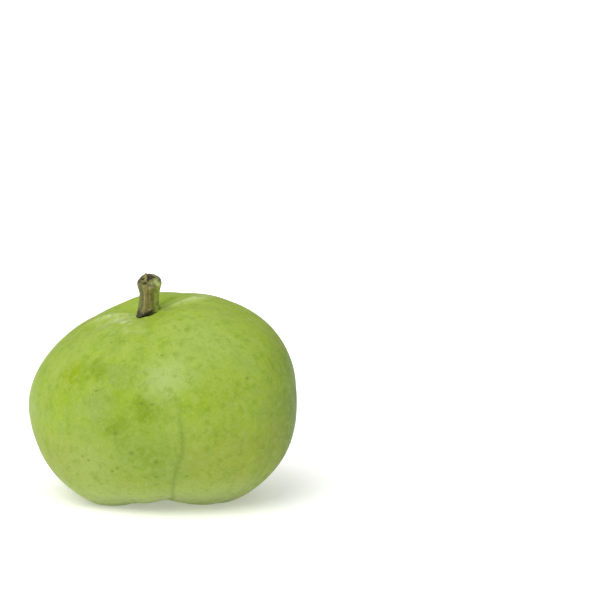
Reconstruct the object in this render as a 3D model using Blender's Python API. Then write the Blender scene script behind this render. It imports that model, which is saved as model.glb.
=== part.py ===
# Apple gourd, also sold as tinda: a squat green fruit with a stub of its stem and its blossom scar.
# Frame: metres, +Z up, the front faces -Y and +X is the fruit's right. The origin lies on the
# surface that the fruit rests on, below the middle of its width and depth.
import math

import bmesh
import bpy
from mathutils import Matrix, Vector

MM = 0.001

# Fruit: a squat body of revolution, fuller than an ellipse, measured from its widest ring
HALF_WIDTH = 34.9 * MM
HALF_DEPTH = 34.0 * MM
CROWN_RISE = 25.5 * MM
BASE_DROP = 27.3 * MM
CROWN_FULLNESS = 2.16
BASE_FULLNESS = 2.37

# Growth: the stem end leans to the left and to the front while the base stays level
LEAN_LEFT = 11.6
LEAN_FRONT = 9.0
BASE_SHIFT = 2.3 * MM

# Cross-section: a little oval and a little three-sided, as a share of the radius, with azimuths
OVAL_SHARE = 0.028
OVAL_AZIMUTH = 136.0
THREE_SIDED_SHARE = 0.022
THREE_SIDED_AZIMUTH = 58.0

# Dimples at the two ends: depth and radius
STEM_DIMPLE_DEPTH = 1.4 * MM
STEM_DIMPLE_RADIUS = 8.0 * MM
BLOSSOM_DIMPLE_DEPTH = 5.0 * MM
BLOSSOM_DIMPLE_RADIUS = 10.0 * MM

# Folds that run from the blossom end up the sides: azimuth, depth, half width in degrees
FOLDS = (
    (-86, 1.68 * MM, 16.5),
    (-40, 0.35 * MM, 6),
    (-8, 0.35 * MM, 7),
    (30, 0.5 * MM, 7),
    (62, 0.55 * MM, 6),
    (101, 0.55 * MM, 7),
    (137, 0.6 * MM, 7),
    (172, 0.5 * MM, 6),
    (207, 0.3 * MM, 6),
    (242, 0.35 * MM, 7),
)
# Lobes that stand proud at the base and carry the fruit: azimuth, height, half width in degrees
LOBES = (
    (-30, 2.05 * MM, 24),
    (212, 1.95 * MM, 12),
    (88, 2.1 * MM, 20),
)
FOLD_SHARPNESS = 1.5
LOBE_SHARPNESS = 2
FOLD_FADE_RADIUS = 7.0 * MM
FOLD_SIDE_POWER = 0.8
FOLD_LIFT_POWER = 1.2
CROWN_FOLD_SHARE = 0.35
RESTING_FLAT_DEPTH = 0.6 * MM

# Stem: a five-ridged stub, flared where it leaves the fruit and where it was cut
STEM_LENGTH = 8.5 * MM
STEM_RADIUS = 2.45 * MM
STEM_FOOT_FLARE = 0.75 * MM
STEM_FOOT_FLARE_HEIGHT = 1.2 * MM
STEM_END_FLARE = 0.75 * MM
STEM_END_FLARE_HEIGHT = 2.0 * MM
STEM_END_ROUNDING = 0.3 * MM
STEM_HOLLOW = 0.45 * MM
# Rings of the cut end: share of the radius, share of the hollow's depth
STEM_END_RINGS = ((0.92, 0.0), (0.78, 0.4), (0.5, 1.0), (0.2, 0.7))
STEM_RIDGES = 5
STEM_RIDGE_SHARE = 0.075
STEM_RIDGE_TURN = 20.0
STEM_BEND_RIGHT = 1.9 * MM
STEM_BEND_FRONT = 1.6 * MM
STEM_BEND_POWER = 1.25
STEM_ROOT_DEPTH = 0.9 * MM

# Blossom scar: a small corky button in the dimple below, cleft where the flower fell away
SCAR_RADIUS = 2.6 * MM
SCAR_HEIGHT = 0.7 * MM
SCAR_CLEFT_DEPTH = 0.5 * MM
SCAR_CLEFT_WIDTH = 0.45 * MM
SCAR_CLEFT_SLANT = 0.25
SCAR_NOTCHES = 7
SCAR_NOTCH_SHARE = 0.05
SCAR_LUMPS = 5
SCAR_LUMP_HEIGHT = 0.12 * MM
SCAR_ROOT_DEPTH = 0.6 * MM

# Clearance all round a root in its socket
JOINT_GAP = 0.3 * MM

# How finely the surfaces are divided
FRUIT_COLUMNS = 108
FRUIT_ROWS = 38
STEM_COLUMNS = 40
STEM_ROWS = 14
SCAR_COLUMNS = 30
SCAR_ROWS = 7
SHARP_ANGLE = math.radians(40)

STEM_SOCKET_RADIUS = STEM_RADIUS + STEM_FOOT_FLARE + JOINT_GAP
STEM_SOCKET_DEPTH = STEM_ROOT_DEPTH + JOINT_GAP
SCAR_SOCKET_RADIUS = SCAR_RADIUS + JOINT_GAP
SCAR_SOCKET_DEPTH = SCAR_ROOT_DEPTH + JOINT_GAP


def clear_scene():
    for item in list(bpy.data.objects):
        bpy.data.objects.remove(item, do_unlink=True)


def material(name, colour, roughness):
    """A plain finish for one piece, with its colour in linear RGB."""
    finish = bpy.data.materials.new(name)
    finish.use_nodes = True
    shader = finish.node_tree.nodes["Principled BSDF"]
    shader.inputs["Base Color"].default_value = (*colour, 1.0)
    shader.inputs["Roughness"].default_value = roughness
    shader.inputs["Metallic"].default_value = 0.0
    return finish


def bump(azimuth, middle, half_width, power):
    """1 at the middle azimuth, falling away to both sides; azimuths in radians."""
    offset = (azimuth - math.radians(middle) + math.pi) % math.tau - math.pi
    return math.exp(-abs(math.degrees(offset) / half_width) ** power)


def relief(azimuth):
    """How far the side is drawn in by folds, less how far it is pushed out by lobes."""
    total = 0.0
    for middle, depth, half_width in FOLDS:
        total += depth * bump(azimuth, middle, half_width, FOLD_SHARPNESS)
    for middle, height, half_width in LOBES:
        total -= height * bump(azimuth, middle, half_width, LOBE_SHARPNESS)
    return total


def lean(share):
    """The turn of a ring about the fruit's middle; share is 0 at the base and 1 at the crown."""
    forward = Matrix.Rotation(math.radians(LEAN_FRONT) * share, 3, "X")
    sideways = Matrix.Rotation(-math.radians(LEAN_LEFT) * share, 3, "Y")
    return forward @ sideways


def fruit_point(polar, azimuth, sink=0.0):
    """A point of the skin; polar runs from 0 at the crown to pi at the base."""
    sine = math.sin(polar)
    cosine = math.cos(polar)
    upper = cosine > 0
    fullness = CROWN_FULLNESS if upper else BASE_FULLNESS
    spread = sine ** (2 / fullness)
    height = abs(cosine) ** (2 / fullness)
    radius = spread * (HALF_WIDTH + HALF_DEPTH) / 2
    if upper:
        z = CROWN_RISE * height - STEM_DIMPLE_DEPTH * math.exp(-((radius / STEM_DIMPLE_RADIUS) ** 2))
        fade = CROWN_FOLD_SHARE * cosine
    else:
        dimple = math.exp(-((radius / BLOSSOM_DIMPLE_RADIUS) ** 2))
        z = BLOSSOM_DIMPLE_DEPTH * dimple - BASE_DROP * height
        fade = abs(cosine) ** FOLD_SIDE_POWER
    fade *= 1 - math.exp(-((radius / FOLD_FADE_RADIUS) ** 2))
    inward = relief(azimuth) * fade
    outward = 1 if upper else -1
    z -= outward * (inward * abs(cosine) ** FOLD_LIFT_POWER + sink)
    oval = OVAL_SHARE * math.cos(2 * (azimuth - math.radians(OVAL_AZIMUTH))) * sine**2
    three = THREE_SIDED_SHARE * math.cos(3 * (azimuth - math.radians(THREE_SIDED_AZIMUTH))) * sine**3
    scale = (1 - inward / HALF_WIDTH) * (1 + oval + three)
    x = HALF_WIDTH * spread * math.cos(azimuth) * scale
    y = HALF_DEPTH * spread * math.sin(azimuth) * scale
    share = (1 + cosine) / 2
    point = lean(share) @ Vector((x, y, z))
    point.x -= BASE_SHIFT * (1 - share) ** 2
    return point


def polar_at(radius, fullness):
    """The polar angle, counted from the nearer end, of the ring that has this radius."""
    return math.asin((radius / HALF_DEPTH) ** (fullness / 2))


STEM_SOCKET_POLAR = polar_at(STEM_SOCKET_RADIUS, CROWN_FULLNESS)
SCAR_SOCKET_POLAR = math.pi - polar_at(SCAR_SOCKET_RADIUS, BASE_FULLNESS)


def ring_middle(polar):
    return (fruit_point(polar, 0.0) + fruit_point(polar, math.pi)) / 2


def circle(count):
    return [math.tau * step / count for step in range(count)]


def fruit_rings():
    """Rings from the stem socket's floor, over the skin, to the blossom socket's floor."""
    first = STEM_SOCKET_POLAR
    last = SCAR_SOCKET_POLAR
    polars = [first + (last - first) * row / FRUIT_ROWS for row in range(FRUIT_ROWS + 1)]
    azimuths = circle(FRUIT_COLUMNS)
    rings = [[fruit_point(polar, azimuth) for azimuth in azimuths] for polar in polars]
    rings.insert(0, [fruit_point(first, azimuth, STEM_SOCKET_DEPTH) for azimuth in azimuths])
    rings.append([fruit_point(last, azimuth, SCAR_SOCKET_DEPTH) for azimuth in azimuths])
    return rings


def loft(name, rings, finish):
    """Close a stack of rings into one solid, each end a fan round its middle."""
    mesh = bpy.data.meshes.new(name)
    work = bmesh.new()
    loops = [[work.verts.new(point) for point in ring] for ring in rings]
    count = len(rings[0])
    for lower, upper in zip(loops, loops[1:]):
        for step in range(count):
            after = (step + 1) % count
            work.faces.new((lower[step], lower[after], upper[after], upper[step]))
    caps = [work.faces.new(loops[0]), work.faces.new(loops[-1])]
    bmesh.ops.poke(work, faces=caps)
    bmesh.ops.recalc_face_normals(work, faces=work.faces[:])
    work.to_mesh(mesh)
    work.free()
    mesh.materials.append(finish)
    mesh.shade_smooth()
    mesh.set_sharp_from_angle(angle=SHARP_ANGLE)
    piece = bpy.data.objects.new(name, mesh)
    bpy.context.collection.objects.link(piece)
    return piece


def make_fruit():
    """Make the body, with flats on its low lobes; returns the offset that puts it on the origin."""
    rings = fruit_rings()
    points = [point for ring in rings for point in ring]
    ground = min(point.z for point in points) + RESTING_FLAT_DEPTH
    middle_x = (min(point.x for point in points) + max(point.x for point in points)) / 2
    middle_y = (min(point.y for point in points) + max(point.y for point in points)) / 2
    offset = Vector((-middle_x, -middle_y, -ground))
    for point in points:
        point.z = max(point.z, ground)
        point += offset
    skin = material("gourd_skin", (0.352, 0.515, 0.080), 0.45)
    loft("fruit", rings, skin)
    return offset


def stem_centre(height):
    """The stem's middle line in its own frame, straight in its socket and bent above it."""
    share = max(height, 0.0) / STEM_LENGTH
    bend = share**STEM_BEND_POWER
    return Vector((STEM_BEND_RIGHT * bend, -STEM_BEND_FRONT * bend, height))


def stem_direction(height):
    step = 0.05 * MM
    return (stem_centre(height + step) - stem_centre(height - step)).normalized()


def stem_radius(height, azimuth):
    foot = STEM_FOOT_FLARE * math.exp(-height / STEM_FOOT_FLARE_HEIGHT)
    end = STEM_END_FLARE * math.exp(-(((STEM_LENGTH - height) / STEM_END_FLARE_HEIGHT) ** 2))
    share = min(height / STEM_FOOT_FLARE_HEIGHT, 1.0)
    ridge = math.cos(STEM_RIDGES * (azimuth - math.radians(STEM_RIDGE_TURN)))
    return (STEM_RADIUS + foot + end) * (1 + STEM_RIDGE_SHARE * share * ridge)


def stem_ring(height, scale=1.0, sink=0.0):
    """One ring square to the middle line, drawn in by scale and sunk along the line."""
    upright = Vector((0.0, 0.0, 1.0))
    turn = upright.rotation_difference(stem_direction(height))
    ring = []
    for azimuth in circle(STEM_COLUMNS):
        radius = stem_radius(max(height, 0.0), azimuth) * scale
        spoke = Vector((radius * math.cos(azimuth), radius * math.sin(azimuth), -sink))
        ring.append(stem_centre(height) + turn @ spoke)
    return ring


def make_stem(foot, turn):
    """The stub, standing in its socket with its cut end slightly hollow."""
    rings = [stem_ring(-STEM_ROOT_DEPTH)]
    for row in range(STEM_ROWS + 1):
        rings.append(stem_ring((STEM_LENGTH - STEM_END_ROUNDING) * row / STEM_ROWS))
    for scale, hollow in STEM_END_RINGS:
        rings.append(stem_ring(STEM_LENGTH, scale, STEM_HOLLOW * hollow))
    rind = material("stem_rind", (0.156, 0.122, 0.030), 0.7)
    stem = loft("stem", rings, rind)
    stem.location = foot
    stem.rotation_euler = turn.to_euler()


def scar_point(share, azimuth):
    """A point of the button's top; share runs from 0 at the middle to 1 at the rim."""
    notch = SCAR_NOTCH_SHARE * (1 + math.cos(SCAR_NOTCHES * azimuth)) / 2
    radius = SCAR_RADIUS * share * (1 - notch)
    x = radius * math.cos(azimuth)
    y = radius * math.sin(azimuth)
    dome = 1 - share**4
    cleft = dome * math.exp(-(((y - SCAR_CLEFT_SLANT * x) / SCAR_CLEFT_WIDTH) ** 2))
    lumps = math.cos(SCAR_LUMPS * azimuth) * math.sin(math.pi * share)
    z = SCAR_HEIGHT * dome - SCAR_CLEFT_DEPTH * cleft + SCAR_LUMP_HEIGHT * lumps
    return Vector((x, y, z))


def make_scar(seat):
    """The corky button, standing in its socket and facing down."""
    azimuths = circle(SCAR_COLUMNS)
    rings = [[scar_point(1, azimuth) for azimuth in azimuths]]
    for point in rings[0]:
        point.z = -SCAR_ROOT_DEPTH
    for row in range(SCAR_ROWS):
        share = 1 - row / SCAR_ROWS
        rings.append([scar_point(share, azimuth) for azimuth in azimuths])
    cork = material("scar_cork", (0.223, 0.141, 0.091), 0.8)
    scar = loft("blossom_scar", rings, cork)
    scar.location = seat
    scar.rotation_euler = (math.pi, 0.0, 0.0)


def main():
    clear_scene()
    offset = make_fruit()
    make_stem(ring_middle(STEM_SOCKET_POLAR) + offset, lean(1.0))
    make_scar(ring_middle(SCAR_SOCKET_POLAR) + offset)


main()
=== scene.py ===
import math

import bpy
import numpy as np
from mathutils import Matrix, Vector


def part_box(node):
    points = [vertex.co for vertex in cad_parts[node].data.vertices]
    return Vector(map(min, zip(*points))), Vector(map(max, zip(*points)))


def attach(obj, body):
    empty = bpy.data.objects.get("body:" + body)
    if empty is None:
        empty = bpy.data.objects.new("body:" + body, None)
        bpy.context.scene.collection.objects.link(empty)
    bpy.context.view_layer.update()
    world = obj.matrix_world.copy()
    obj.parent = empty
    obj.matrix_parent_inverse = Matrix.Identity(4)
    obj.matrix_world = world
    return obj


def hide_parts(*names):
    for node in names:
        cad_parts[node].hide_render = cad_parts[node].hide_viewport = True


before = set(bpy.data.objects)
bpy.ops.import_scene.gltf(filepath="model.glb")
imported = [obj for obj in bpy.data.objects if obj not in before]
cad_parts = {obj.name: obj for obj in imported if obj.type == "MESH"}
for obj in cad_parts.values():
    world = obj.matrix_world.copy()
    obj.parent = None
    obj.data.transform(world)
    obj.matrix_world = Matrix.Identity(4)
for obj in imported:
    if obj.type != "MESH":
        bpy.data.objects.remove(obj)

mm = 0.001
degrees = 180 / math.pi
beyondReach = 100.0        # mm, further than any mask reaches
capLevel = 0.4999          # points of a unit cylinder above this lie on its top cap
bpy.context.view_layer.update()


# Small helpers for node trees

class Term:
    # a socket that ordinary arithmetic turns into math nodes
    def __init__(self, tree, socket):
        self.tree = tree
        self.socket = socket

    def __add__(self, other):
        return calc(self.tree, "ADD", self, other)

    def __radd__(self, other):
        return calc(self.tree, "ADD", other, self)

    def __sub__(self, other):
        return calc(self.tree, "SUBTRACT", self, other)

    def __rsub__(self, other):
        return calc(self.tree, "SUBTRACT", other, self)

    def __mul__(self, other):
        return calc(self.tree, "MULTIPLY", self, other)

    def __rmul__(self, other):
        return calc(self.tree, "MULTIPLY", other, self)

    def __truediv__(self, other):
        return calc(self.tree, "DIVIDE", self, other)

    def __rtruediv__(self, other):
        return calc(self.tree, "DIVIDE", other, self)

    def __pow__(self, other):
        return calc(self.tree, "POWER", self, other)

    def __neg__(self):
        return calc(self.tree, "MULTIPLY", self, -1.0)


def plug(tree, socket, value):
    if isinstance(value, Term):
        tree.links.new(value.socket, socket)
    elif isinstance(value, bpy.types.NodeSocket):
        tree.links.new(value, socket)
    else:
        socket.default_value = value


def calc(tree, operation, *values):
    made = tree.nodes.new("ShaderNodeMath")
    made.operation = operation
    for socket, value in zip(made.inputs, values):
        plug(tree, socket, value)
    return Term(tree, made.outputs[0])


def sine(term):
    return calc(term.tree, "SINE", term)


def cosine(term):
    return calc(term.tree, "COSINE", term)


def size(term):
    return calc(term.tree, "ABSOLUTE", term)


def bell(term, sharpness=2.0):
    # 1 where the term is 0, falling to both sides
    return calc(term.tree, "EXPONENT", -(size(term) ** sharpness))


def step(term, low, high):
    # 0 below low, 1 above high, smooth between; low may be the larger
    made = term.tree.nodes.new("ShaderNodeMapRange")
    made.interpolation_type = "SMOOTHSTEP"
    for socket, value in zip(made.inputs, (term, low, high, 0.0, 1.0)):
        plug(term.tree, socket, value)
    return Term(term.tree, made.outputs[0])


def node(tree, kind, inputs=None, **settings):
    made = tree.nodes.new(kind)
    for name, value in settings.items():
        setattr(made, name, value)
    for name, value in (inputs or {}).items():
        plug(tree, made.inputs[name], value)
    return made


def split(tree, vector):
    parts = node(tree, "ShaderNodeSeparateXYZ", {0: vector})
    return [Term(tree, socket) for socket in parts.outputs]


def combine(tree, x, y, z):
    return node(tree, "ShaderNodeCombineXYZ", {0: x, 1: y, 2: z}).outputs[0]


def scaled(tree, vector, factor):
    # factor is a number or a term
    made = node(tree, "ShaderNodeVectorMath", {0: vector}, operation="SCALE")
    plug(tree, made.inputs["Scale"], factor)
    return made.outputs[0]


def noise(tree, vector, scale, detail=2.0, roughness=0.5):
    inputs = {"Vector": vector, "Scale": scale, "Detail": detail, "Roughness": roughness}
    return Term(tree, node(tree, "ShaderNodeTexNoise", inputs).outputs[0])


def vectorMath(tree, operation, first, second):
    return node(tree, "ShaderNodeVectorMath", {0: first, 1: second}, operation=operation).outputs


def newTree(name, kind, inputs, outputs):
    # a node group with named sockets; returns the tree, its inputs as terms, and its output node
    tree = bpy.data.node_groups.new(name, kind)
    for title, socketType, value in inputs:
        socket = tree.interface.new_socket(name=title, in_out="INPUT", socket_type=socketType)
        if value is not None:
            socket.default_value = value
    for title, socketType in outputs:
        tree.interface.new_socket(name=title, in_out="OUTPUT", socket_type=socketType)
    start = tree.nodes.new("NodeGroupInput")
    end = tree.nodes.new("NodeGroupOutput")
    return tree, {socket.name: Term(tree, socket) for socket in start.outputs if socket.name}, end


def shapeTree(name, sizes):
    # a geometry tree whose named inputs are the entries of a piece's dictionary of sizes
    inputs = [("Geometry", "NodeSocketGeometry", None), ("Material", "NodeSocketMaterial", None)]
    for title, value in sizes.items():
        kind = "NodeSocketInt" if isinstance(value, int) else "NodeSocketFloat"
        inputs.append((title, kind, value))
    return newTree(name, "GeometryNodeTree", inputs, [("Geometry", "NodeSocketGeometry")])


def finishShape(tree, end, geometry, finish):
    # plain geometry in its own material, since the export drops instances
    whole = node(tree, "GeometryNodeRealizeInstances", {"Geometry": geometry}).outputs[0]
    dressed = node(tree, "GeometryNodeSetMaterial", {"Geometry": whole, "Material": finish})
    plug(tree, end.inputs[0], dressed.outputs[0])


def stored(tree, geometry, name, value, kind="FLOAT"):
    # a value kept on the mesh for its material, or for a later part of the tree
    inputs = {"Geometry": geometry, "Name": name}
    made = node(tree, "GeometryNodeStoreNamedAttribute", inputs, data_type=kind)
    plug(tree, made.inputs["Value"], value)
    return made.outputs[0]


def named(tree, name):
    # a stored number, read back inside a geometry tree
    made = node(tree, "GeometryNodeInputNamedAttribute", {"Name": name}, data_type="FLOAT")
    return Term(tree, made.outputs[0])


def moved(tree, geometry, how, vector):
    return node(tree, "GeometryNodeSetPosition", {"Geometry": geometry, how: vector}).outputs[0]


def grow(name, tree, sizes, finish, start=None):
    # run a geometry tree and keep its result as a plain mesh at the origin
    source = start.data.copy() if start else bpy.data.meshes.new(name)
    piece = bpy.data.objects.new(name, source)
    bpy.context.scene.collection.objects.link(piece)
    modifier = piece.modifiers.new("shape", "NODES")
    modifier.node_group = tree
    for item in tree.interface.items_tree:
        if item.in_out == "INPUT" and item.name in sizes:
            modifier[item.identifier] = sizes[item.name]
        if item.in_out == "INPUT" and item.name == "Material":
            modifier[item.identifier] = finish
    graph = bpy.context.evaluated_depsgraph_get()
    mesh = bpy.data.meshes.new_from_object(piece.evaluated_get(graph), depsgraph=graph)
    piece.modifiers.remove(modifier)
    piece.data = mesh
    mesh.name = name
    if not mesh.materials:
        mesh.materials.append(finish)
    return piece


def pointsOf(mesh):
    flat = np.empty(len(mesh.vertices) * 3)
    mesh.vertices.foreach_get("co", flat)
    return flat.reshape(-1, 3)


def setPoints(mesh, points):
    mesh.vertices.foreach_set("co", points.astype(np.float32).ravel())
    mesh.update()


def settle(piece, nodeName):
    piece.data.shade_smooth()
    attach(piece, "root")
    if nodeName:
        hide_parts(nodeName)


# Shared shader groups

def colour(red, green, blue):
    # a screen colour, 0 to 255, as the linear colour that a shader takes
    def linear(value):
        value = value / 255
        return value / 12.92 if value <= 0.04045 else ((value + 0.055) / 1.055) ** 2.4
    return (linear(red), linear(green), linear(blue), 1.0)


def makePatches():
    # soft cloudy mask: 0 outside the patches, 1 inside
    tree, given, end = newTree("softPatches", "ShaderNodeTree", [
        ("Vector", "NodeSocketVector", None),
        ("Scale", "NodeSocketFloat", 100.0),
        ("Detail", "NodeSocketFloat", 3.0),
        ("Low", "NodeSocketFloat", 0.4),
        ("High", "NodeSocketFloat", 0.6),
    ], [("Mask", "NodeSocketFloat")])
    cloud = noise(tree, given["Vector"], given["Scale"], given["Detail"], 0.55)
    plug(tree, end.inputs["Mask"], step(cloud, given["Low"], given["High"]))
    return tree


def makeFlecks():
    # scattered round dots of uneven size: Share is how many of the cells hold one
    tree, given, end = newTree("scatteredFlecks", "ShaderNodeTree", [
        ("Vector", "NodeSocketVector", None),
        ("Scale", "NodeSocketFloat", 100.0),
        ("Radius", "NodeSocketFloat", 0.15),
        ("Share", "NodeSocketFloat", 0.3),
    ], [("Mask", "NodeSocketFloat")])
    cells = node(tree, "ShaderNodeTexVoronoi", {"Vector": given["Vector"], "Scale": given["Scale"]})
    pick, girth, _ = split(tree, cells.outputs["Color"])
    radius = given["Radius"] * (0.5 + girth)
    dot = step(Term(tree, cells.outputs["Distance"]) / radius, 1.0, 0.45)
    plug(tree, end.inputs["Mask"], dot * calc(tree, "LESS_THAN", pick, given["Share"]))
    return tree


softPatches = makePatches()
scatteredFlecks = makeFlecks()


def patches(tree, vector, scale, low, high, detail=3.0):
    inputs = {"Vector": vector, "Scale": scale, "Detail": detail, "Low": low, "High": high}
    made = node(tree, "ShaderNodeGroup", inputs, node_tree=softPatches)
    return Term(tree, made.outputs["Mask"])


def flecks(tree, vector, scale, radius, share):
    inputs = {"Vector": vector, "Scale": scale, "Radius": radius, "Share": share}
    made = node(tree, "ShaderNodeGroup", inputs, node_tree=scatteredFlecks)
    return Term(tree, made.outputs["Mask"])


def blend(tree, share, first, second):
    # first where share is 0, second where it is 1
    made = node(tree, "ShaderNodeMix", data_type="RGBA")
    plug(tree, made.inputs[0], share)
    plug(tree, made.inputs[6], first)
    plug(tree, made.inputs[7], second)
    return made.outputs[2]


def layered(tree, base, tones, layers):
    # each layer, a share and the name of a tone, covers what lies under it
    for share, tone in layers:
        base = blend(tree, share, base, tones[tone])
    return base


def newFinish(name):
    finish = bpy.data.materials.new(name)
    finish.use_nodes = True
    tree = finish.node_tree
    shader = tree.nodes["Principled BSDF"]
    place = node(tree, "ShaderNodeTexCoord").outputs["Object"]
    return finish, tree, shader, place


def kept(tree, name, output="Fac"):
    # a value that the shape stored, read in a material
    return Term(tree, node(tree, "ShaderNodeAttribute", attribute_name=name).outputs[output])


def bumped(tree, height, distance, strength, under=None):
    made = node(tree, "ShaderNodeBump", {"Height": height, "Distance": distance, "Strength": strength})
    if under is not None:
        plug(tree, made.inputs["Normal"], under)
    return made.outputs[0]


# The gourd's skin: the fruit's own rule, with finer folds than the solid has

# lengths are in mm and angles in degrees, here and in the pieces below
skinSizes = {
    "Half width": 34.9,
    "Half depth": 34.0,
    "Crown rise": 25.5,
    "Base drop": 27.3,
    "Crown fullness": 2.16,
    "Base fullness": 2.37,
    "Lean left": 11.6,
    "Lean front": 9.0,
    "Base shift": 2.3,
    "Oval share": 0.028,
    "Oval azimuth": 136.0,
    "Three-sided share": 0.022,
    "Three-sided azimuth": 58.0,
    "Stem dimple depth": 1.4,
    "Stem dimple radius": 8.0,
    "Blossom dimple depth": 5.0,
    "Blossom dimple radius": 10.0,
    "Stem socket radius": 2.75,
    "Stem socket depth": 1.1,
    "Collar height": 0.5,
    "Collar radius": 3.6,
    "Collar width": 0.75,
    "Collar azimuth": -5.0,
    "Scar socket radius": 2.6,
    "Scar socket depth": 0.8,
    "Crease depth": 0.1,
    "Crease half width": 0.62,
    "Fold start": 7.0,
    "Crown fold share": 0.35,
    "Swell height": 0.16,
    "Ripple height": 0.05,
    "Columns": 460,
    "Rows": 200,
    "Front crowding": 0.25,
    "End crowding": 0.2,
}
# each fold: azimuth, depth in mm and half width; then the fine line in it: how far it lies from
# the fold's middle, its strength, how it bows, and the polar angle where it has faded out
skinFolds = (
    (-86, 1.68, 16.5, -0.3, 1.0, 0.0065, 72),
    (-40, 0.35, 6, 0, 0.35, -0.002, 96),
    (-8, 0.35, 7, 0, 0.3, 0.001, 118),
    (30, 0.5, 7, 0, 0.7, 0.001, 104),
    (62, 0.55, 6, 0, 0.5, -0.001, 112),
    (101, 0.55, 7, 0, 0.9, 0.001, 92),
    (137, 0.6, 7, 0, 0.6, 0.002, 110),
    (172, 0.5, 6, 0, 0.4, -0.001, 120),
    (184, 1.2, 14, 0, 0.0, 0.0, 120),
    (207, 0.3, 6, 0, 0.3, 0.001, 122),
    (242, 0.35, 7, 0, 0.6, 0.002, 132),
    (250, 0.25, 4, 0, 0.8, 0.0, 138),
)
bowPolar = 120.0           # a bowed line lies furthest to one side at this polar angle
mostBow = 3.0              # degrees to the other side that it reaches at most
# azimuth, height in mm and half width of the lobes that it stands on
skinLobes = ((-30, 2.05, 26), (214, 1.95, 20), (88, 2.1, 24))
# the low ridges and furrows that run out from the stem: azimuth, height in mm, half width, reach,
# how many degrees each turns for every degree that it runs out, and its painted highlight (negative: painted
# shade)
crownRidges = (
    (15, 0.7, 12, 18, 1.25, 1.0),
    (52, -0.35, 11, 13, 0.4, -0.9),
    (98, 0.55, 18, 16, 0.0, 0.15),
    (166, 0.5, 10, 17, 0.0, 0.6),
    (-168, -0.2, 8, 15, 0.0, -0.2),
    (-112, 0.14, 16, 11, 0.0, 0.1),
    (-40, 0.16, 14, 12, 0.0, 0.1),
)


def makeFoldShape():
    # 1 in the middle of a fold, falling away on both sides of its azimuth
    tree, given, end = newTree("foldShape", "GeometryNodeTree", [
        ("Azimuth", "NodeSocketFloat", 0.0),
        ("Middle", "NodeSocketFloat", 0.0),
        ("Half width", "NodeSocketFloat", 10.0),
        ("Sharpness", "NodeSocketFloat", 2.0),
    ], [("Share", "NodeSocketFloat"), ("Offset", "NodeSocketFloat")])
    offset = calc(tree, "WRAP", given["Azimuth"] - given["Middle"], 180.0, -180.0)
    plug(tree, end.inputs["Share"], bell(offset / given["Half width"], given["Sharpness"]))
    plug(tree, end.inputs["Offset"], offset)
    return tree


foldShape = makeFoldShape()


def fold(azimuth, middle, halfWidth, sharpness=2.0):
    # share of the fold at an azimuth, and how far off its middle that lies, both in degrees
    inputs = {"Azimuth": azimuth, "Middle": middle, "Half width": halfWidth, "Sharpness": sharpness}
    made = node(azimuth.tree, "GeometryNodeGroup", inputs, node_tree=foldShape)
    return [Term(azimuth.tree, made.outputs[name]) for name in ("Share", "Offset")]


def foldRelief(azimuth, polar, radius, creaseHalfWidth):
    # how far the folds sink in and the lobes stand out, and the fine lines in the folds
    relief = 0.0
    lines = 0.0
    for middle, depth, halfWidth, aside, strength, bow, reach in skinFolds:
        share, _ = fold(azimuth, middle, halfWidth, 1.5)
        relief = relief + depth * share
        gap = polar - bowPolar
        wander = calc(azimuth.tree, "SMOOTH_MIN", bow * gap * gap, mostBow, 1.0)
        _, offset = fold(azimuth - wander, middle + aside, halfWidth)
        thin = bell(offset / degrees * radius / creaseHalfWidth, 1.6)
        lines = lines + strength * thin * step(polar, reach - 10.0, reach + 22.0)
    for middle, height, halfWidth in skinLobes:
        share, _ = fold(azimuth, middle, halfWidth)
        relief = relief - height * share
    return relief, lines * step(radius, 2.5, 6.0)


def crownRelief(azimuth, polar):
    # height of the ridges and furrows that run out from the stem, with the painted highlight on their crests
    # and painted shade in the furrows
    crest = 0.0
    ridgeLightAndShade = 0.0
    for middle, height, halfWidth, reach, turn, pale in crownRidges:
        share, _ = fold(azimuth - turn * (polar - reach), middle, halfWidth)
        window = bell((polar - reach) / (reach * 0.7)) * step(polar, 4.0, 9.0)
        crest = crest + height * share * window
        ridgeLightAndShade = ridgeLightAndShade + pale * share * window
    return crest, ridgeLightAndShade


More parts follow.
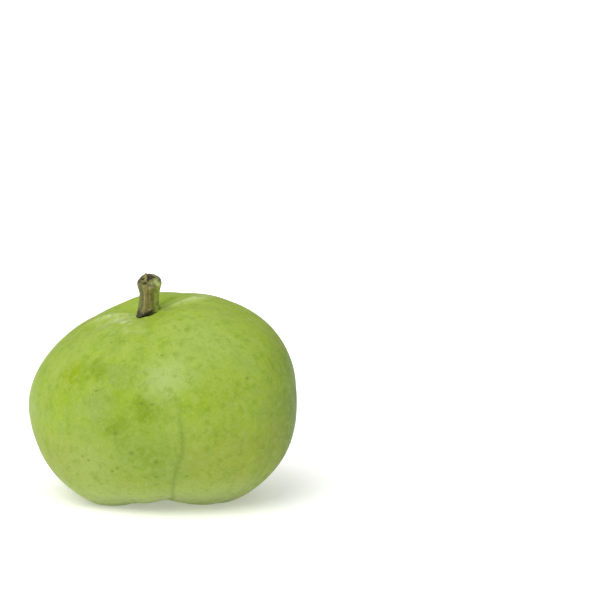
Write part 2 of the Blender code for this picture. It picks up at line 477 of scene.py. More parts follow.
def makeSkinTree():
    tree, given, end = shapeTree("gourdSkinShape", skinSizes)
    grid = {"Segments": given["Columns"], "Rings": given["Rows"], "Radius": 1.0}
    ball = node(tree, "GeometryNodeMeshUVSphere", grid)
    x, y, z = split(tree, node(tree, "GeometryNodeInputPosition").outputs[0])
    rawAzimuth = calc(tree, "ARCTAN2", y, x)
    rawPolar = calc(tree, "ARCTAN2", calc(tree, "SQRT", x * x + y * y), z)
    # columns crowd together at the front, rows at both ends
    azimuth = rawAzimuth - given["Front crowding"] * sine(rawAzimuth + math.pi / 2)
    polar = rawPolar - given["End crowding"] * sine(rawPolar * 2)
    azimuthDegrees = azimuth * degrees
    polarDegrees = polar * degrees

    across = sine(polar)
    upright = cosine(polar)
    upper = calc(tree, "GREATER_THAN", upright, 0.0)
    lower = 1.0 - upper
    fullness = upper * given["Crown fullness"] + lower * given["Base fullness"]
    spread = across ** (2.0 / fullness)
    rise = size(upright) ** (2.0 / fullness)
    radius = spread * (given["Half width"] + given["Half depth"]) * 0.5

    # folds and lobes are strongest at the blossom end, and the crown has its own ridges
    relief, lines = foldRelief(azimuthDegrees, polarDegrees, radius, given["Crease half width"])
    crest, ridgeLightAndShade = crownRelief(azimuthDegrees, polarDegrees)
    fade = upper * given["Crown fold share"] * upright + lower * size(upright) ** 0.8
    fade = fade * (1.0 - bell(radius / given["Fold start"]))
    inward = relief * fade + given["Crease depth"] * lines - crest * upper

    # a low collar of skin hugs the stem on its far and right side
    _, collarOffset = fold(azimuthDegrees, given["Collar azimuth"], 10.0)
    collarSide = 0.2 + 0.8 * bell(collarOffset / 80.0)
    collarRing = bell((radius - given["Collar radius"]) / given["Collar width"])
    collar = given["Collar height"] * collarSide * collarRing

    # dimples and sockets at the two ends
    stemDimple = given["Stem dimple depth"] * bell(radius / given["Stem dimple radius"])
    blossomDimple = given["Blossom dimple depth"] * bell(radius / given["Blossom dimple radius"])
    top = given["Crown rise"] * rise - stemDimple + collar
    bottom = blossomDimple - given["Base drop"] * rise
    stemSocket = step(radius - given["Stem socket radius"], 0.15, -0.25)
    scarSocket = step(radius - given["Scar socket radius"], 0.15, -0.2)
    stemFloor = upper * given["Stem socket depth"] * stemSocket
    scarFloor = lower * given["Scar socket depth"] * scarSocket
    outward = upper - lower
    height = upper * top + lower * bottom
    height = height - outward * (inward * size(upright) ** 1.2 + stemFloor + scarFloor)

    fromOval = azimuth - given["Oval azimuth"] / degrees
    fromThree = azimuth - given["Three-sided azimuth"] / degrees
    oval = given["Oval share"] * cosine(2.0 * fromOval) * across ** 2.0
    three = given["Three-sided share"] * cosine(3.0 * fromThree) * across ** 3.0
    scale = (1.0 - inward / given["Half width"]) * (1.0 + oval + three)
    px = given["Half width"] * spread * cosine(azimuth) * scale
    py = given["Half depth"] * spread * sine(azimuth) * scale

    # each ring turns about the middle, so that the stem end leans and the base stays level
    share = (1.0 + upright) * 0.5
    left = given["Lean left"] / degrees * share
    front = given["Lean front"] / degrees * share
    leftX = px * cosine(left) - height * sine(left)
    leftZ = px * sine(left) + height * cosine(left)
    frontY = py * cosine(front) - leftZ * sine(front)
    frontZ = py * sine(front) + leftZ * cosine(front)
    leftX = leftX - given["Base shift"] * (1.0 - share) * (1.0 - share)
    place = scaled(tree, combine(tree, leftX, frontY, frontZ), mm)

    # patterns follow the growth of the fruit through these attributes, stored before any point moves;
    # each distance from an end is beyond reach on the other half
    growth = combine(tree, cosine(azimuth), sine(azimuth), polar)
    shaped = stored(tree, ball.outputs["Mesh"], "growth", growth, "FLOAT_VECTOR")
    shaped = stored(tree, shaped, "creaseShade", lines)
    shaped = stored(tree, shaped, "ridgeLightAndShade", ridgeLightAndShade * upper)
    shaped = stored(tree, shaped, "fromStem", radius + lower * beyondReach)
    shaped = stored(tree, shaped, "fromScar", radius + upper * beyondReach)
    shaped = moved(tree, shaped, "Position", place)

    # the slight unevenness of a grown surface, kept off the two sockets
    where = node(tree, "GeometryNodeInputPosition").outputs[0]
    swell = (noise(tree, where, 70.0, 1.0) - 0.5) * given["Swell height"] * 2.0
    ripple = (noise(tree, where, 260.0, 2.0) - 0.5) * given["Ripple height"] * 2.0
    calm = step(named(tree, "fromStem"), 4.0, 8.0) * step(named(tree, "fromScar"), 4.0, 8.0)
    push = scaled(tree, node(tree, "GeometryNodeInputNormal").outputs[0], (swell + ripple) * calm * mm)
    finishShape(tree, end, moved(tree, shaped, "Offset", push), given["Material"])
    return tree


def seatOnFloor(piece):
    # fit the skin to the fruit's box, then press the low lobes flat on the surface they rest on
    low, high = (np.array(corner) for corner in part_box("fruit"))
    points = pointsOf(piece.data)
    least, most = points.min(0), points.max(0)
    stretch = (high[:2] - low[:2]) / (most[:2] - least[:2])
    points[:, :2] = low[:2] + (points[:, :2] - least[:2]) * stretch
    points[:, 2] += high[2] - most[2]
    soft = 0.15 * mm           # how gently the flats run out into the lobes
    level = points[:, 2]
    points[:, 2] = np.maximum((level + np.sqrt(level**2 + soft**2)) / 2 - 0.25 * soft, 0.0)
    setPoints(piece.data, points)


skinTones = {
    "ground": colour(150, 172, 60),
    "bright": colour(148, 175, 36),
    "deep": colour(114, 144, 26),
    "bloom": colour(164, 182, 98),
    "grey": colour(140, 161, 80),
    "streak": colour(178, 194, 112),
    "dull": colour(142, 140, 62),
    # base: painted light that the floor reflects onto the lower skin
    "base": colour(172, 183, 124),
    "flankShade": colour(84, 110, 8),
    "darkGreenAndShade": colour(118, 144, 24),
    "lime": colour(137, 160, 18),
    "highlightAndHaze": colour(166, 186, 112),
    "crest": colour(190, 204, 134),
    "creaseShade": colour(112, 134, 54),
    "fleck": colour(92, 118, 36),
    "scuff": colour(206, 212, 172),
    "halo": colour(186, 188, 104),
}
# patches and dots that the photograph shows: tone, azimuth, polar angle, reach, strength
skinMarks = (
    ("darkGreenAndShade", -106.0, 88.0, 44.0, 0.38),
    ("lime", -140.5, 52.0, 14.0, 1.0),
    ("lime", -145.8, 71.0, 16.0, 0.3),
    ("darkGreenAndShade", -127.0, 44.5, 7.5, 0.85),
    ("darkGreenAndShade", -124.8, 51.0, 8.0, 0.8),
    ("darkGreenAndShade", -111.8, 50.1, 15.0, 0.5),
    ("grey", -111.8, 50.1, 11.0, 0.6),
    ("darkGreenAndShade", -98.5, 70.0, 8.5, 0.8),
    ("darkGreenAndShade", -96.5, 77.5, 9.0, 0.85),
    ("darkGreenAndShade", -112.0, 86.0, 10.0, 0.85),
    ("grey", -121.0, 72.0, 15.0, 0.7),
    ("grey", -104.0, 95.0, 16.0, 0.5),
    ("grey", -92.0, 108.0, 24.0, 0.65),
    ("darkGreenAndShade", -97.0, 101.0, 13.0, 0.5),
    ("highlightAndHaze", -128.0, 112.0, 32.0, 0.35),
    # painted highlight on the front, where the key light is reflected
    ("highlightAndHaze", -86.0, 55.5, 20.0, 0.66),
    # painted light brightening the upper front
    ("highlightAndHaze", -60.0, 45.0, 40.0, 0.25),
    ("lime", -66.0, 66.0, 26.0, 0.25),
    ("darkGreenAndShade", -57.5, 27.0, 4.0, 0.6),
    ("darkGreenAndShade", -130.0, 21.0, 5.0, 0.4),
    ("darkGreenAndShade", -13.5, 45.8, 3.6, 0.6),
    ("darkGreenAndShade", -13.5, 51.8, 4.0, 0.6),
    # painted shadow on the skin beside the stem's right foot
    ("darkGreenAndShade", 54.0, 8.5, 6.0, 0.8),
    ("halo", -40.0, 5.5, 3.5, 0.4),
    # painted shade darkening the right flank
    ("flankShade", 2.0, 102.0, 60.0, 1.0),
    ("scuff", -136.0, 11.0, 5.5, 0.46),
    ("scuff", -124.0, 14.0, 4.5, 0.42),
    ("scuff", -158.0, 14.5, 5.5, 0.3),
    ("scuff", 166.0, 17.0, 7.0, 0.36),
)
# fine mottling, a millimetre and less: scale, low, high, strength and tone
skinMottling = (
    (560.0, 0.46, 0.74, 0.3, "bloom"),
    (480.0, 0.48, 0.74, 0.42, "deep"),
    (1700.0, 0.5, 0.7, 0.26, "deep"),
    (1500.0, 0.5, 0.7, 0.22, "bloom"),
)
# flecks: scale, radius, share of the cells that hold one, strength and tone
skinFlecks = (
    (430.0, 0.13, 0.3, 0.35, "streak"),
    (190.0, 0.1, 0.2, 0.45, "fleck"),
)
# azimuth, polar angle and reach of the small dark dots that stand out
skinDots = (
    (-105.5, 97.4, 1.5),
    (-94.8, 103.1, 1.3),
    (-94.7, 114.2, 1.3),
    (-113.2, 107.4, 1.2),
    (-116.0, 109.9, 1.0),
    (-80.5, 114.9, 1.0),
    (-128.0, 103.4, 1.1),
    (-131.0, 101.1, 1.1),
    (-123.0, 61.6, 1.2),
    (-94.5, 71.1, 1.3),
    (-99.2, 70.1, 1.2),
    (-49.2, 68.1, 1.2),
    (-125.7, 28.3, 1.2),
    (-112.5, 88.4, 1.2),
    (-84.8, 40.3, 1.1),
)
growthRadius = 34          # mm, turns the growth coordinates to about millimetres


def growthPoint(azimuth, polar):
    # where an azimuth and a polar angle in degrees lie in the stored growth coordinates
    around = math.radians(azimuth)
    return (math.cos(around), math.sin(around), math.radians(polar))


def nearby(tree, growth, azimuth, polar, reach):
    # 1 at a place on the skin, falling to 0 at its reach in degrees
    gap = vectorMath(tree, "DISTANCE", growth, growthPoint(azimuth, polar))["Value"]
    return step(Term(tree, gap), math.radians(reach), math.radians(reach) * 0.1)


def makeSkinFinish():
    finish, tree, shader, place = newFinish("gourdSkin")
    growth = kept(tree, "growth", "Vector")

    def stretched(around, along):
        # growth coordinates in about millimetres, the pattern drawn out along the fruit
        factors = (growthRadius * around, growthRadius * around, growthRadius * along)
        return vectorMath(tree, "MULTIPLY", growth, factors)[0]

    blotch = stretched(1.0, 0.75)
    streak = stretched(1.0, 0.22)
    creaseShade = calc(tree, "MINIMUM", kept(tree, "creaseShade"), 1.0)
    ridgeLightAndShade = kept(tree, "ridgeLightAndShade")
    fromStem = kept(tree, "fromStem")
    fromScar = kept(tree, "fromScar")
    _, _, polar = split(tree, growth)
    # edges of the placed patches wander with this
    drift = node(tree, "ShaderNodeTexNoise", {"Vector": place, "Scale": 190.0, "Detail": 3.0})
    offset = vectorMath(tree, "SUBTRACT", drift.outputs["Color"], (0.5, 0.5, 0.5))[0]
    wandering = vectorMath(tree, "ADD", scaled(tree, offset, 0.3), growth)[0]

    # broad patterns; drawn-out ones would crowd at the stem, so they keep away from it
    away = step(fromStem, 5.0, 15.0)
    cloudy = patches(tree, place, 60.0, 0.36, 0.66)
    base = layered(tree, skinTones["ground"], skinTones, (
        (patches(tree, blotch, 0.1, 0.36, 0.68) * 0.6, "bright"),
        (patches(tree, blotch, 0.19, 0.45, 0.75) * away * 0.5, "deep"),
        (cloudy * 0.25, "bloom"),
        (patches(tree, place, 250.0, 0.44, 0.76) * 0.4, "grey"),
        (patches(tree, streak, 0.34, 0.48, 0.8, 2.0) * away * 0.2, "streak"),
    ))
    # the lower flank is a little duller, then painted light pales the skin towards the ground, as the light
    # that the floor reflects up onto it, less so round the scar where it stays green
    duller = step(polar, math.radians(85), math.radians(104))
    duller = duller * step(polar, math.radians(136), math.radians(118))
    paintedFloorLight = step(polar, math.radians(112), math.radians(150))
    paintedFloorLight = paintedFloorLight * (1.0 - 0.75 * step(fromScar, 21.0, 12.0))
    base = layered(tree, base, skinTones, ((duller * 0.3, "dull"), (paintedFloorLight * 0.85, "base")))
    for tone, azimuth, polarAngle, reach, strength in skinMarks:
        mark = nearby(tree, wandering, azimuth, polarAngle, reach)
        base = blend(tree, mark * strength, base, skinTones[tone])
    # painted highlight on the ridges at the stem, where they catch the light, and painted shade in the
    # furrows between them
    base = blend(tree, step(ridgeLightAndShade, 0.05, 0.95) * 0.7, base, skinTones["crest"])
    base = blend(tree, step(ridgeLightAndShade, -0.05, -0.9) * 0.75, base, skinTones["darkGreenAndShade"])
    for scale, low, high, strength, tone in skinMottling:
        base = blend(tree, patches(tree, place, scale, low, high, 2.0) * strength, base, skinTones[tone])
    for scale, radius, share, strength, tone in skinFlecks:
        base = blend(tree, flecks(tree, place, scale, radius, share) * strength, base, skinTones[tone])
    for azimuth, polarAngle, reach in skinDots:
        dot = nearby(tree, growth, azimuth, polarAngle, reach * 1.25)
        base = blend(tree, dot * 0.55, base, skinTones["fleck"])
    # pale scuffs lie round the near left side of the stem, a pale halo lies round the scar, and painted
    # shade darkens the crease lines
    nearLeft = (-0.82, -0.57, 0.0)
    aside = Term(tree, vectorMath(tree, "DOT_PRODUCT", growth, nearLeft)["Value"])
    leftOfStem = step(aside, 0.45, 0.85) * step(fromStem, 15.0, 8.0)
    wisps = patches(tree, stretched(0.1, 1.0), 0.5, 0.36, 0.7, 2.0)
    base = layered(tree, base, skinTones, (
        (wisps * patches(tree, place, 300.0, 0.3, 0.66) * leftOfStem * 0.6, "scuff"),
        (step(fromScar, 9.0, 3.0) * 0.6, "halo"),
        (creaseShade * 0.52, "creaseShade"),
    ))
    plug(tree, shader.inputs["Base Color"], base)

    dull = patches(tree, place, 540.0, 0.52, 0.72, 2.0)
    plug(tree, shader.inputs["Roughness"], 0.4 + 0.12 * cloudy + 0.08 * dull)
    pores = node(tree, "ShaderNodeTexVoronoi", {"Vector": place, "Scale": 1100.0}, feature="SMOOTH_F1")
    peel = bumped(tree, pores.outputs["Distance"], 0.05 * mm, 0.4)
    uneven = noise(tree, place, 330.0, 3.0)
    plug(tree, shader.inputs["Normal"], bumped(tree, uneven, 0.16 * mm, 0.4, peel))
    shader.inputs["Specular IOR Level"].default_value = 0.1     # waxy, with only a faint sheen
    return finish


def makeSkin():
    piece = grow("gourdSkin", makeSkinTree(), skinSizes, makeSkinFinish())
    seatOnFloor(piece)
    settle(piece, "fruit")
    return piece


# The stem: a five-ridged stub with a torn foot and a rough cut end

stemSizes = {
    "Length": 8.35,
    "Shaft radius": 2.35,
    "Foot flare": 0.55,
    "Foot height": 1.2,
    "End flare": 0.72,
    "End height": 1.9,
    "Rounding": 0.9,
    "Ridge share": 0.09,
    "Ridge turn": 36.0,
    "Toe azimuth": -133.0,
    "Toe reach": 1.9,
    "Toe half width": 22.0,
    "Foot lift": -0.3,
    "Gap azimuth": -86.0,
    "Gap height": 0.5,
    "Gap half width": 28.0,
    "Root radius": 2.6,
    "Root depth": 0.9,
    "Bend right": 2.15,
    "Bend front": 0.9,
    "Bend power": 0.68,
    "Cut slant": 0.62,
    "Cut dome": 0.4,
    "Pit depth": 0.9,
    "Fibre height": 0.12,
    "Lump height": 0.17,
    "Rim height": 0.3,
    "Columns": 180,
    "Rows": 130,
    "Cap rings": 44,
    "End crowding": 0.12,
}
# dark pits in the cut face, in shares of its radius: right, back, half width, half length, depth share
cutPits = (
    (0.08, 0.46, 0.3, 0.5, 1.2),
    (-0.66, 0.2, 0.2, 0.22, 0.8),
    (-0.54, -0.5, 0.24, 0.26, 1.0),
    (-0.18, -0.12, 0.11, 0.26, 0.7),
    (0.52, 0.42, 0.15, 0.2, 0.55),
    (0.26, -0.62, 0.1, 0.2, 0.4),
)
# the tough strand that stands up across the cut face
cutStrand = {"right": -0.3, "half width": 0.15, "height": 0.36}
stemFoot = (-3.612, -3.715, 49.78)   # mm, the middle of the dimple that it grows from


def cutFace(faceX, faceY, lateral, given):
    # height of the cut face over its plane, with its pits and strand; places are shares of its radius
    tree = lateral.tree
    pits = 0.0
    torn = noise(tree, combine(tree, faceX, faceY, 7.0), 3.0, 2.0) - 0.5
    for right, back, halfWidth, halfLength, share in cutPits:
        gapX = (faceX + 0.3 * torn - right) / halfWidth
        gapY = (faceY - 0.4 * torn - back) / halfLength
        pits = pits + share * bell(calc(tree, "SQRT", gapX * gapX + gapY * gapY + 0.0001), 2.5)
    strand = bell((faceX - cutStrand["right"]) / cutStrand["half width"]) * step(faceY, -0.5, -0.1)
    crumbs = noise(tree, combine(tree, faceX, faceY, 0.0), 3.4, 3.0, 0.65) - 0.5
    dome = given["Cut dome"] * (1.0 - lateral * lateral)
    face = dome + cutStrand["height"] * strand - given["Pit depth"] * pits
    return face + 0.5 * crumbs * step(lateral, 1.0, 0.85), pits, strand


def makeStemTree():
    tree, given, end = shapeTree("stemShape", stemSizes)
    tube = node(tree, "GeometryNodeMeshCylinder", {
        "Vertices": given["Columns"],
        "Side Segments": given["Rows"],
        "Fill Segments": given["Cap rings"],
        "Radius": 1.0,
        "Depth": 1.0,
    }, fill_type="TRIANGLE_FAN")
    x, y, z = split(tree, node(tree, "GeometryNodeInputPosition").outputs[0])
    azimuth = calc(tree, "ARCTAN2", y, x)
    lateral = calc(tree, "SQRT", x * x + y * y)
    along = z + 0.5
    # rows crowd together at both ends
    along = along - given["End crowding"] * sine(along * math.tau)
    height = along * (given["Length"] + given["Root depth"]) - given["Root depth"]
    isTop = calc(tree, "GREATER_THAN", z, capLevel)
    spin = combine(tree, cosine(azimuth), sine(azimuth), height * 0.12)

    ridge = cosine(5.0 * (azimuth - given["Ridge turn"] / degrees))
    toeOffset = calc(tree, "WRAP", azimuth - given["Toe azimuth"] / degrees, math.pi, -math.pi)
    toe = given["Toe reach"] * bell(toeOffset * degrees / given["Toe half width"]) * bell(height / 0.8)
    gapOffset = calc(tree, "WRAP", azimuth - given["Gap azimuth"] / degrees, math.pi, -math.pi)
    gap = given["Gap height"] * bell(gapOffset * degrees / given["Gap half width"])
    footFade = calc(tree, "EXPONENT", -(calc(tree, "MAXIMUM", height, 0.0) / given["Foot height"]))
    flare = given["End flare"] * bell((given["Length"] - 0.7 - height) / given["End height"])
    ridged = 1.0 + given["Ridge share"] * ridge * step(height, given["Length"] + 1.5, 5.0)
    radius = (given["Shaft radius"] + given["Foot flare"] * footFade + flare) * ridged + toe
    fibres = (noise(tree, spin, 6.0, 3.0, 0.6) - 0.5) * 2.0 * given["Fibre height"]
    knobbly = combine(tree, cosine(azimuth), sine(azimuth), height * 0.45)
    lumps = (noise(tree, knobbly, 1.5, 2.0) - 0.5) * 2.0 * given["Lump height"]
    # below its torn foot the stem draws in to the root
    lift = given["Foot lift"] + gap * (0.3 + 1.4 * noise(tree, spin, 2.2, 3.0))
    below = step(height, lift + 0.12, lift - 0.12)
    radius = radius + fibres + lumps
    radius = radius * (1.0 - below) + given["Root radius"] * below
    # the shoulder of the cut end is worn round
    pastShoulder = height - given["Length"] + given["Rounding"]
    shoulder = calc(tree, "MAXIMUM", pastShoulder / given["Rounding"], 0.0)
    radius = radius * (1.0 - 0.16 * shoulder ** 3.0)

    # the end is cut with a slant down to the front, and its rim is ragged
    faceX = lateral * cosine(azimuth)
    faceY = lateral * sine(azimuth)
    face, pits, strand = cutFace(faceX, faceY, lateral, given)
    ragged = noise(tree, combine(tree, cosine(azimuth), sine(azimuth), 3.0), 3.2, 2.0, 0.6) - 0.5
    rim = given["Rim height"] * ragged * 2.0 * step(along, 0.88, 1.0) * step(lateral, 0.5, 0.9)
    slant = given["Cut slant"] * faceY * step(height, given["Length"] - 2.4, given["Length"])

    across = radius * lateral
    share = calc(tree, "MAXIMUM", height, 0.2) / given["Length"]
    bend = share ** given["Bend power"]
    slope = given["Bend power"] * share ** (given["Bend power"] - 1.0) / given["Length"]
    px = across * cosine(azimuth)
    py = across * sine(azimuth)
    tilt = slope * (given["Bend right"] * px - given["Bend front"] * py) * step(height, 0.3, 1.6)
    pz = height - tilt + rim + (isTop * face + slant)
    px = px + given["Bend right"] * bend
    py = py - given["Bend front"] * bend
    place = scaled(tree, combine(tree, px, py, pz), mm)
    shaped = stored(tree, tube.outputs["Mesh"], "spin", spin, "FLOAT_VECTOR")
    shaped = stored(tree, shaped, "ridge", ridge)
    shaped = stored(tree, shaped, "height", height)
    shaped = stored(tree, shaped, "cutFace", isTop * step(lateral, 0.97, 0.84))
    shaped = stored(tree, shaped, "pits", isTop * pits)
    shaped = stored(tree, shaped, "strand", isTop * strand)
    shaped = stored(tree, shaped, "front", -faceY)
    shaped = stored(tree, shaped, "right", faceX)
    finishShape(tree, end, moved(tree, shaped, "Position", place), given["Material"])
    return tree


def lean(points):
    # lean upright points as the fruit's axis leans at the stem
    left = math.radians(skinSizes["Lean left"])
    front = math.radians(skinSizes["Lean front"])
    c, s = math.cos(left), math.sin(left)
    turnLeft = np.array(((c, 0, -s), (0, 1, 0), (s, 0, c)))
    c, s = math.cos(front), math.sin(front)
    turnFront = np.array(((1, 0, 0), (0, c, -s), (0, s, c)))
    return points @ (turnFront @ turnLeft).T


stemTones = {
    "brown": colour(128, 122, 64),
    "tan": colour(156, 152, 90),
    "ridge": colour(116, 102, 38),
    "lichen": colour(116, 120, 64),
    "green": colour(142, 156, 58),
    "pale": colour(170, 184, 90),
    "dark": colour(52, 50, 22),
    "flesh": colour(186, 196, 122),
    "fleshShade": colour(112, 112, 50),
    "strand": colour(158, 148, 92),
    "pit": colour(50, 44, 16),
    "rim": colour(54, 52, 26),
    "foot": colour(98, 88, 44),
    # torn: painted shadow under the foot's near left side
    "torn": colour(50, 48, 10),
    "fleck": colour(184, 168, 156),
}


def makeStemFinish():
    finish, tree, shader, place = newFinish("stemRind")
    spin = kept(tree, "spin", "Vector")
    height = kept(tree, "height")
    front = kept(tree, "front")
    ridge = kept(tree, "ridge")
    top = stemSizes["Length"]
    side, _, _ = split(tree, spin)
    wobble = 0.5 * (noise(tree, spin, 2.6, 3.0) - 0.5)
    rough = noise(tree, place, 700.0, 3.0, 0.6) - 0.5
    worn = 0.35 + 0.5 * patches(tree, spin, 6.0, 0.58, 0.42)
    # brown and tan at the left and front, green at the right, with painted shade darkening the furrows
    rind = blend(tree, patches(tree, spin, 4.0, 0.42, 0.62), stemTones["brown"], stemTones["tan"])
    rind = layered(tree, rind, stemTones, (
        (step(side + wobble, -0.45, -0.85) * 0.8, "lichen"),
        (step(ridge, 0.1, 0.8) * step(side + wobble, 0.3, 0.0) * worn, "ridge"),
        (step(side + wobble * 0.7, 0.12, 0.42) * 0.92, "green"),
        (step(side + wobble, 0.6, 0.95) * 0.6, "pale"),
        (patches(tree, place, 900.0, 0.54, 0.66) * 0.4, "dark"),
        (patches(tree, spin, 11.0, 0.5, 0.68) * 0.32, "dark"),
        (step(ridge, -0.3, -1.0) * step(side, 0.95, 0.5) * 0.38, "dark"),
        (flecks(tree, place, 1500.0, 0.3, 0.3) * 0.4, "tan"),
    ))
    # at its near left side the torn foot is painted dark brown and, lowest, near black, as painted shadow
    # under it; the foot has pale flecks of dry tissue
    low = height + rough * 1.2
    left = step(side - front * 0.4, 0.35, -0.15)
    specks = flecks(tree, place, 820.0, 0.36, 0.3) * step(height, 1.6, 1.2) * step(height, 0.2, 0.5)
    rind = layered(tree, rind, stemTones, (
        (step(low, 1.6, 0.8) * left * 0.75, "foot"),
        (step(low, 0.95, 0.5) * left * 0.95, "torn"),
        (specks * 0.85, "fleck"),
    ))
    # cut face: flesh with darker crumbs, the strand and the pits
    paleSide = step(kept(tree, "right") + wobble * 0.6, -0.02, 0.3) * patches(tree, place, 700.0, 0.62, 0.42)
    flesh = layered(tree, stemTones["fleshShade"], stemTones, (
        (paleSide, "flesh"),
        (patches(tree, place, 620.0, 0.5, 0.6) * 0.6, "rim"),
        (kept(tree, "strand") * 0.9, "strand"),
        (step(kept(tree, "pits") + rough * 0.6, 0.2, 0.6) * 0.95, "pit"),
    ))
    # flesh shows past the edge at the front, where the rim is worn off, and the rim is dark elsewhere
    wornOff = step(height + rough * 1.6, top - 0.6, top) * step(front, 0.35, 0.8) * 0.8
    edge = calc(tree, "MINIMUM", kept(tree, "cutFace") + wornOff, 1.0)
    darkRim = step(height + rough * 0.8, top - 0.75, top - 0.3) * step(front, 0.7, 0.1)
    rind = blend(tree, darkRim * 0.85, rind, stemTones["rim"])
    plug(tree, shader.inputs["Base Color"], blend(tree, edge, rind, flesh))
    plug(tree, shader.inputs["Roughness"], 0.6 + 0.2 * patches(tree, spin, 6.0, 0.42, 0.62))
    grain = bumped(tree, noise(tree, spin, 26.0, 3.0), 0.18 * mm, 0.5)
    plug(tree, shader.inputs["Normal"], bumped(tree, noise(tree, place, 1800.0, 2.0), 0.1 * mm, 0.5, grain))
    return finish


# Fine hairs on the stem's sides

hairSizes = {
    "Density": 3.2,                # hairs on a square millimetre
    "Length": 0.34,
    "Root radius": 0.022,
    "Least share": 0.45,
    "Most share": 1.15,
    "Lowest": 0.9,
    "Highest": 7.6,
    "Seed": 7,
}
hairTurn = (0.6, 0.6, 3.1)         # radians that a hair tips and turns at most, either way
hairTones = {
    "pale": colour(196, 196, 150),
    "dry": colour(150, 146, 96),
}


def makeHairTree():
    tree, given, end = shapeTree("stemHairShape", hairSizes)
    height = named(tree, "height")
    onSide = calc(tree, "GREATER_THAN", height, given["Lowest"])
    onSide = onSide * calc(tree, "LESS_THAN", height, given["Highest"])
    scatter = node(tree, "GeometryNodeDistributePointsOnFaces", {
        "Mesh": given["Geometry"],
        "Density": given["Density"] * 1e6 * onSide,
        "Seed": given["Seed"],
    }, distribute_method="RANDOM")
    hair = node(tree, "GeometryNodeMeshCone", {
        "Vertices": 4,
        "Side Segments": 2,
        "Radius Top": 0.0,
        "Radius Bottom": given["Root radius"] * mm,
        "Depth": given["Length"] * mm,
    }, fill_type="TRIANGLE_FAN")
    # each hair has a size, a tip and a turn of its own
    share = node(tree, "FunctionNodeRandomValue", {"Seed": 3}, data_type="FLOAT")
    plug(tree, share.inputs[2], given["Least share"])
    plug(tree, share.inputs[3], given["Most share"])
    turn = node(tree, "FunctionNodeRandomValue", {"Seed": 5}, data_type="FLOAT_VECTOR")
    plug(tree, turn.inputs[0], [-angle for angle in hairTurn])
    plug(tree, turn.inputs[1], hairTurn)
    turned = {0: scatter.outputs["Rotation"], 1: turn.outputs[0]}
    tipped = node(tree, "FunctionNodeRotateRotation", turned, rotation_space="LOCAL")
    standing = node(tree, "GeometryNodeInstanceOnPoints", {
        "Points": scatter.outputs["Points"],
        "Instance": hair.outputs["Mesh"],
        "Rotation": tipped.outputs[0],
        "Scale": share.outputs[1],
    })
    finishShape(tree, end, standing.outputs[0], given["Material"])
    return tree


def makeHairFinish():
    finish, tree, shader, place = newFinish("stemHair")
    base = blend(tree, patches(tree, place, 900.0, 0.4, 0.6), hairTones["pale"], hairTones["dry"])
    plug(tree, shader.inputs["Base Color"], base)
    plug(tree, shader.inputs["Roughness"], 0.5 + 0.2 * noise(tree, place, 1200.0))
    return finish


def makeStem():
    piece = grow("stemStub", makeStemTree(), stemSizes, makeStemFinish())
    setPoints(piece.data, lean(pointsOf(piece.data)) + np.array(stemFoot) * mm)
    hairs = grow("stemHairs", makeHairTree(), hairSizes, makeHairFinish(), piece)
    settle(piece, "stem")
    settle(hairs, None)
    return piece


# The blossom scar: a corky button with a cleft where the flower fell away

scarSizes = {
    "Radius": 2.6,
    "Height": 0.7,
    "Cleft depth": 0.55,
    "Cleft width": 0.4,
    "Cleft slant": 0.25,
    "Notch share": 0.05,
    "Lump height": 0.12,
    "Cork height": 0.16,
    "Root depth": 0.6,
    "Columns": 120,
    "Rows": 10,
    "Cap rings": 44,
}
scarSeat = (-1.032, 0.001, 3.597)    # mm, the middle of the dimple below


def makeScarTree():
    tree, given, end = shapeTree("blossomScarShape", scarSizes)
    puck = node(tree, "GeometryNodeMeshCylinder", {
        "Vertices": given["Columns"],
        "Side Segments": given["Rows"],
        "Fill Segments": given["Cap rings"],
        "Radius": 1.0,
        "Depth": 1.0,
    }, fill_type="TRIANGLE_FAN")
    x, y, z = split(tree, node(tree, "GeometryNodeInputPosition").outputs[0])
    azimuth = calc(tree, "ARCTAN2", y, x)
    lateral = calc(tree, "SQRT", x * x + y * y)
    isTop = calc(tree, "GREATER_THAN", z, capLevel)
    notch = given["Notch share"] * (1.0 + cosine(7.0 * azimuth)) * 0.5
    radius = given["Radius"] * (1.0 - notch)
    px = radius * lateral * cosine(azimuth)
    py = radius * lateral * sine(azimuth)
    dome = 1.0 - lateral ** 4.0
    cleft = dome * bell((py - given["Cleft slant"] * px) / given["Cleft width"])
    lumps = given["Lump height"] * cosine(5.0 * azimuth) * sine(lateral * math.pi)
    cork = (noise(tree, combine(tree, px, py, 0.0), 1.7, 3.0, 0.65) - 0.5) * 2.0
    top = given["Height"] * dome - given["Cleft depth"] * cleft + lumps + cork * given["Cork height"] * dome
    pz = isTop * top + (1.0 - isTop) * (z - 0.5) * given["Root depth"]
    place = scaled(tree, combine(tree, px, py, pz), mm)
    shaped = stored(tree, puck.outputs["Mesh"], "cleft", isTop * cleft)
    shaped = stored(tree, shaped, "lateral", lateral)
    finishShape(tree, end, moved(tree, shaped, "Position", place), given["Material"])
    return tree


scarTones = {
    "cork": colour(150, 122, 100),
    "pale": colour(214, 204, 172),
    "dark": colour(52, 38, 28),
    "edge": colour(118, 96, 66),
}


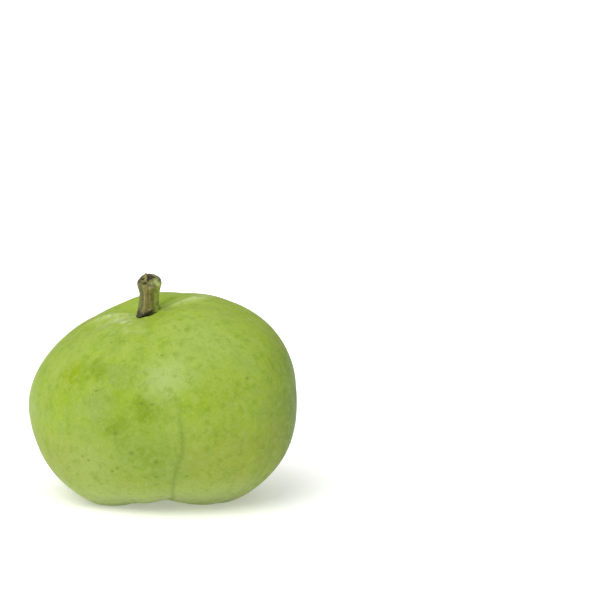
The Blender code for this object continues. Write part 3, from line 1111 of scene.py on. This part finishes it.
def makeScarFinish():
    finish, tree, shader, place = newFinish("scarCork")
    corky = patches(tree, place, 900.0, 0.45, 0.6)
    base = layered(tree, scarTones["cork"], scarTones, (
        (corky, "edge"),
        (patches(tree, place, 420.0, 0.52, 0.7) * 0.5, "pale"),
        (step(kept(tree, "lateral"), 0.8, 1.0) * 0.6, "edge"),
        # the cleft is painted dark, as painted shade in it
        (step(kept(tree, "cleft"), 0.35, 0.8) * 0.9, "dark"),
    ))
    plug(tree, shader.inputs["Base Color"], base)
    plug(tree, shader.inputs["Roughness"], 0.75 + 0.15 * corky)
    plug(tree, shader.inputs["Normal"], bumped(tree, noise(tree, place, 2200.0, 3.0), 0.1 * mm, 0.6))
    return finish


def makeScar():
    piece = grow("blossomButton", makeScarTree(), scarSizes, makeScarFinish())
    points = pointsOf(piece.data) * (1, -1, -1)   # turned over to face down
    setPoints(piece.data, points + np.array(scarSeat) * mm)
    settle(piece, "blossom_scar")
    return piece


# Stage, light and camera

cameraView = {
    "fruit middle": (1.26, 0.0, 26.29),        # mm, the middle of the fruit's widest ring
    "fruit pixel": (167.5, 395.9),             # where that point lies in the photograph
    "frame": 600,
    "mm per pixel": 0.2607,
    "distance": 1200.0,
    "elevation": 11.8,                         # of the line of sight to the fruit
}
# name, degrees to the left of the camera, elevation, angle that the light spans, irradiance / pi
softLights = (
    ("keyLight", 28.0, 52.0, 45.0, 0.45),
    ("topLight", 0.0, 86.0, 100.0, 0.43),
    ("leftFill", 80.0, 20.0, 90.0, 0.2),
)
worldStrength = 0.28
floorGlow = 0.3            # the floor is a little lit from within, as a light table is


def makeStage():
    mesh = bpy.data.meshes.new("floor")
    reach = 6.0                # metres from the middle to each side
    corners = [(-reach, -reach, 0), (reach, -reach, 0), (reach, reach, 0), (-reach, reach, 0)]
    mesh.from_pydata(corners, [], [(0, 1, 2, 3)])
    floor = bpy.data.objects.new("floor", mesh)
    bpy.context.scene.collection.objects.link(floor)
    finish = bpy.data.materials.new("paleFloor")
    finish.use_nodes = True
    shader = finish.node_tree.nodes["Principled BSDF"]
    shader.inputs["Base Color"].default_value = colour(246, 246, 244)
    shader.inputs["Roughness"].default_value = 0.9
    shader.inputs["Emission Color"].default_value = (1.0, 1.0, 1.0, 1.0)
    shader.inputs["Emission Strength"].default_value = floorGlow
    mesh.materials.append(finish)


def makeLight():
    for name, left, elevation, angle, strength in softLights:
        light = bpy.data.lights.new(name, "SUN")
        light.angle = math.radians(angle)
        light.energy = strength * math.pi
        lamp = bpy.data.objects.new(name, light)
        bpy.context.scene.collection.objects.link(lamp)
        lamp.rotation_euler = (math.radians(90 - elevation), 0.0, math.radians(-left))
    world = bpy.data.worlds.new("studio")
    bpy.context.scene.world = world
    world.use_nodes = True
    backdrop = world.node_tree.nodes["Background"]
    backdrop.inputs["Color"].default_value = (1.0, 1.0, 1.0, 1.0)
    backdrop.inputs["Strength"].default_value = worldStrength
    bpy.context.scene.view_settings.view_transform = "Standard"
    bpy.context.scene.view_settings.look = "None"


def makeCamera():
    view = cameraView
    middle = np.array(view["fruit middle"]) * mm
    distance = view["distance"] * mm
    down = math.radians(view["elevation"])
    place = middle + distance * np.array((0.0, -math.cos(down), math.sin(down)))
    focal = view["distance"] / view["mm per pixel"]            # in pixels
    left = (view["frame"] / 2 - view["fruit pixel"][0]) / focal
    below = (view["fruit pixel"][1] - view["frame"] / 2) / focal
    # turned and tipped so that the line of sight to the fruit meets the picture at its pixel
    risen = math.asin(math.sin(down) * math.hypot(1, left, below) / math.hypot(1, below))
    pitch = risen - math.atan(below)
    yaw = math.atan(left / (math.cos(pitch) - below * math.sin(pitch)))
    camera = bpy.data.cameras.new("camera")
    camera.lens = focal * camera.sensor_width / view["frame"]
    camera.clip_start = 0.01
    camera.clip_end = 50.0
    eye = bpy.data.objects.new("camera", camera)
    bpy.context.scene.collection.objects.link(eye)
    eye.location = place
    eye.rotation_euler = (math.pi / 2 - pitch, 0.0, -yaw)
    bpy.context.scene.camera = eye


makeStage()
makeLight()
makeCamera()
print("stage, light and camera are set")
skin = makeSkin()
print("skin:", len(skin.data.polygons), "faces")
stem = makeStem()
print("stem:", len(stem.data.polygons), "faces")
scar = makeScar()
print("blossom scar:", len(scar.data.polygons), "faces")
